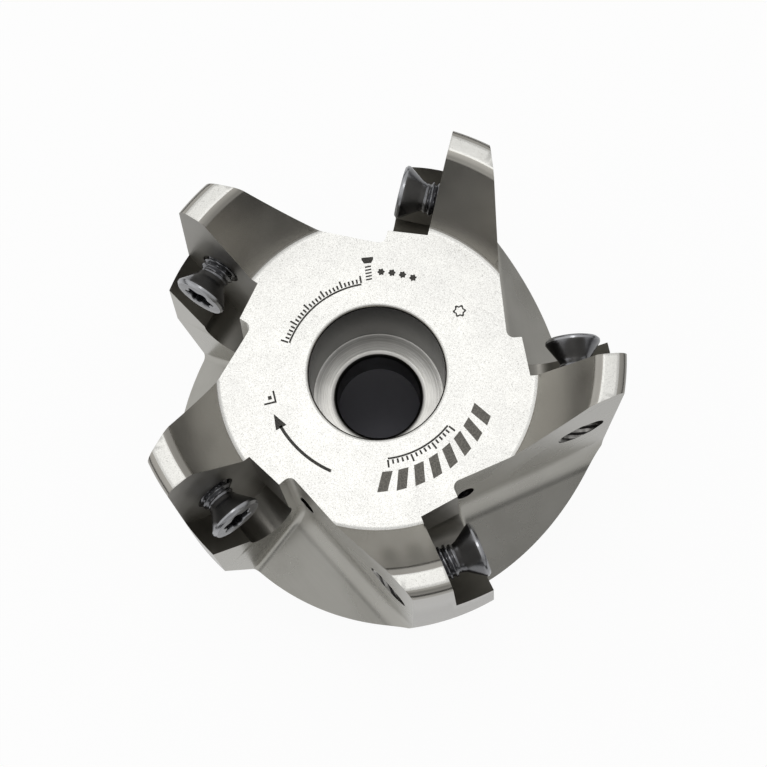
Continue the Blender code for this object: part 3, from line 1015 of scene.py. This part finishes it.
def satin_nickel(name, look):
    """Machined sides: satin, with very fine cutting streaks and faint stains."""
    material, tree, shader = new_material(name)
    streaks = grain(tree, 1.0, stretch=look["streaks"], detail=3.0)
    clouds = grain(tree, SATIN_CLOUDS, detail=5.0)
    colour = clouded(tree, clouds, STREAK_RANGE, look)
    streak_share = ramp(tree, streaks, *STREAK_RANGE, STREAK_SHARE, 0.0)
    streaked = mix_colour(tree, streak_share, colour, STREAK_COLOUR)
    tree.links.new(streaked, shader.inputs["Base Color"])
    shader.inputs["Metallic"].default_value = 1.0
    set_roughness(tree, shader, clouds, look["roughness"])
    set_bump(tree, shader, streaks, STREAK_RELIEF)
    return material


def radius_rings(tree, rings_per_metre):
    """Noise that depends only on the distance from the spindle axis, as turning leaves."""
    place = add_node(tree, "ShaderNodeTexCoord")
    flat = add_node(tree, "ShaderNodeVectorMath",
                    {0: place.outputs["Object"], 1: (1.0, 1.0, 0.0)}, operation="MULTIPLY")
    away = add_node(tree, "ShaderNodeVectorMath", {0: flat.outputs["Vector"]}, operation="LENGTH")
    noise = add_node(tree, "ShaderNodeTexNoise",
                     {"W": away.outputs["Value"], "Scale": rings_per_metre, "Detail": 3.0},
                     noise_dimensions="1D")
    return noise.outputs["Fac"]


def bored_steel(name, look):
    """Bolt seat and bores: turned rings, darker than the plated outside."""
    material, tree, shader = new_material(name)
    rings = radius_rings(tree, look["rings"])
    clouds = grain(tree, STAIN_GRAIN, detail=4.0)
    stain_share = ramp(tree, clouds, *STAIN_RANGE, 0.0, STAIN_SHARE)
    stained = mix_colour(tree, stain_share, clouded(tree, rings, MIDDLE, look), look["stain"])
    tree.links.new(stained, shader.inputs["Base Color"])
    shader.inputs["Metallic"].default_value = 1.0
    set_roughness(tree, shader, rings, RING_ROUGHNESS)
    set_bump(tree, shader, rings, RING_RELIEF)
    return material


def mottled(name, look):
    """A finish whose colour, roughness and relief all follow one noise."""
    material, tree, shader = new_material(name)
    noise = grain(tree, look["grain"], detail=look["detail"])
    tree.links.new(clouded(tree, noise, look["range"], look), shader.inputs["Base Color"])
    shader.inputs["Metallic"].default_value = look["metallic"]
    set_roughness(tree, shader, noise, look["roughness"])
    set_bump(tree, shader, noise, look["relief"])
    return material


def shaded_ground_seat():
    """Insert seats: smooth ground steel, darkened with painted shade, as the pockets lie in shadow.
    """
    return mottled("shaded_ground_seat", SHADED_SEAT_LOOK)


def shaded_tapped_steel():
    """Tapped and coolant holes: bare steel, darkened with painted shade, with bright burrs on the
    thread.
    """
    return mottled("shaded_tapped_steel", SHADED_HOLE_LOOK)


def laser_mark(name, colours):
    """Laser-annealed marks: matt and dark, slightly uneven."""
    return mottled(name, {**MARK_FINISH, **colours})


def black_oxide():
    """Screws: blue-black oxide, worn through to plain steel on the rim and round the recess, and
    darkened inside the recess with painted shade.
    """
    material, tree, shader = new_material("black_oxide")
    wear_or_shade = add_node(tree, "ShaderNodeAttribute", attribute_name="wear_and_recess_shade").outputs["Fac"]
    wear = grain(tree, WEAR_GRAIN, detail=3.0)
    fine = grain(tree, OXIDE_GRAIN, detail=2.0)
    share = combine(tree, "MULTIPLY", wear_or_shade, ramp(tree, wear, *WEAR_RANGE, WEAR_LEAST, 1.0))
    oxide = mix_colour(tree, ramp(tree, wear, *OXIDE_RANGE, 0.0, 1.0), OXIDE_DARK, OXIDE_LIGHT)
    # Painted shade: negative values darken the oxide inside the recess
    shaded = mix_colour(tree, ramp(tree, wear_or_shade, -1.0, 0.0, 1.0, 0.0), oxide, RECESS_PAINTED_SHADE)
    colour = mix_colour(tree, share, shaded, BARE_STEEL)
    tree.links.new(colour, shader.inputs["Base Color"])
    shader.inputs["Metallic"].default_value = 1.0
    set_roughness(tree, shader, fine, OXIDE_ROUGHNESS)
    set_bump(tree, shader, fine, OXIDE_RELIEF)
    return material


# ---------------------------------------------------------------- stage, light, camera

def build_floor():
    """A wide pale floor under the cutter."""
    bm = bmesh.new()
    bmesh.ops.create_grid(bm, x_segments=FLOOR_CELLS, y_segments=FLOOR_CELLS, size=FLOOR_HALF)
    mesh = bpy.data.meshes.new("floor")
    bm.to_mesh(mesh)
    bm.free()
    floor = link(bpy.data.objects.new("floor", mesh))
    floor.location.z = REAR - FLOOR_GAP
    mesh.materials.append(pale_floor())


def pale_floor():
    """Matt floor that glows white to the camera. Mirror rays see a painted reflection glowing bright
    near the cutter and painted shade further off, and the patch under the hub is grey painted shade,
    like a shaded table."""
    material, tree, shader = new_material("pale_floor")
    rays = add_node(tree, "ShaderNodeLightPath").outputs
    place = add_node(tree, "ShaderNodeTexCoord").outputs["Object"]
    spot = add_node(tree, "ShaderNodeSeparateXYZ", {0: place}).outputs
    away = add_node(tree, "ShaderNodeVectorMath", {0: place}, operation="LENGTH").outputs["Value"]
    far = ramp(tree, away, FLOOR_PALE, FLOOR_DARK, 0.0, 1.0)
    under = ramp(tree, away, HUB_RADIUS - HUB_SHADE_EDGE, HUB_RADIUS, 1.0, 0.0)
    pale = mix_colour(tree, grain(tree, FLOOR_GRAIN, detail=3.0), *FLOOR_COLOURS)
    shade = ramp(tree, spot["Y"], -FLOOR_DARK, FLOOR_DARK, FLOOR_SHADE_FRONT, FLOOR_SHADE_BACK)
    far_glossy = combine(tree, "MULTIPLY", far, rays["Is Glossy Ray"])
    far_colour = mix_colour(tree, far_glossy, pale, shade)
    tree.links.new(mix_colour(tree, under, far_colour, HUB_SHADE), shader.inputs["Base Color"])
    shader.inputs["Roughness"].default_value = FLOOR_ROUGHNESS
    shader.inputs["Specular IOR Level"].default_value = FLOOR_SPECULAR
    mirrored = ramp(tree, spot["X"], -2 * BODY_RADIUS, 2 * BODY_RADIUS,
                    FLOOR_MIRROR_LEFT, FLOOR_MIRROR_RIGHT)
    strength = combine(tree, "MAXIMUM", rays["Is Camera Ray"], mirrored)
    glow = add_node(tree, "ShaderNodeEmission", {"Color": (1.0, 1.0, 1.0, 1.0),
                                                 "Strength": strength})
    near = combine(tree, "SUBTRACT", 1.0, far)
    near_glossy = combine(tree, "MULTIPLY", rays["Is Glossy Ray"], near)
    seen = combine(tree, "MULTIPLY", rays["Is Camera Ray"], FLOOR_GLOW)
    lit = combine(tree, "MAXIMUM", seen, near_glossy)
    outside = combine(tree, "SUBTRACT", 1.0, under)
    lift = add_node(tree, "ShaderNodeMixShader", {0: combine(tree, "MULTIPLY", lit, outside),
                                                  1: shader.outputs["BSDF"],
                                                  2: glow.outputs["Emission"]})
    tree.links.new(lift.outputs["Shader"], tree.nodes["Material Output"].inputs["Surface"])
    return material


def build_lamp():
    """One soft lamp, high up and behind the cutter."""
    data = bpy.data.lights.new("overhead_softbox", "AREA")
    data.shape = "RECTANGLE"
    data.size = LAMP_WIDTH
    data.size_y = LAMP_LENGTH
    data.energy = LAMP_POWER
    lamp = link(bpy.data.objects.new("overhead_softbox", data))
    lamp.location = LAMP_PLACE
    lamp.rotation_euler = (-lamp.location).to_track_quat("-Z", "Y").to_euler()


def dome_level(tree, height, stops):
    """Grey level from the height of the view direction, through the given stops."""
    level = add_node(tree, "ShaderNodeValToRGB", {0: height})
    elements = level.color_ramp.elements
    while len(elements) < len(stops):
        elements.new(0.5)
    for element, (position, brightness) in zip(elements, stops):
        element.position = position
        element.color = (brightness, brightness, brightness, 1.0)
    return level.outputs["Color"]


def build_world():
    """Soft studio dome: bright overhead and on the left, darkest low on the camera's side."""
    world = bpy.data.worlds.new("studio")
    bpy.context.scene.world = world
    world.use_nodes = True
    tree = world.node_tree
    place = add_node(tree, "ShaderNodeTexCoord")
    parts = add_node(tree, "ShaderNodeSeparateXYZ", {0: place.outputs["Generated"]})
    camera_side = ramp(tree, parts.outputs["Y"], *CAMERA_SIDE, 1.0, 0.0)
    back_side = ramp(tree, parts.outputs["Y"], *BACK_SIDE, 0.0, 1.0)
    front = mix_colour(tree, camera_side, dome_level(tree, parts.outputs["Z"], DOME),
                       dome_level(tree, parts.outputs["Z"], DOME_CAMERA_SIDE))
    colour = mix_colour(tree, back_side, front, dome_level(tree, parts.outputs["Z"], DOME_BACK))
    background = tree.nodes["Background"]
    tree.links.new(colour, background.inputs["Color"])
    strength = ramp(tree, parts.outputs["X"], -1.0, 1.0, WORLD_LEFT, WORLD_RIGHT)
    tree.links.new(strength, background.inputs["Strength"])


def build_camera():
    """The camera, above and a little in front of the cutter."""
    data = bpy.data.cameras.new("photo_camera")
    data.sensor_width = CAMERA_SENSOR
    data.lens = CAMERA_LENS
    data.clip_start = CAMERA_CLIP
    camera = link(bpy.data.objects.new("photo_camera", data))
    camera.location = CAMERA_PLACE
    camera.rotation_euler = [math.radians(angle) for angle in CAMERA_TURN]
    bpy.context.scene.camera = camera


build_body()
build_screws()
build_marks()
build_floor()
build_world()
build_lamp()
build_camera()
bpy.context.scene.view_settings.view_transform = "Standard"
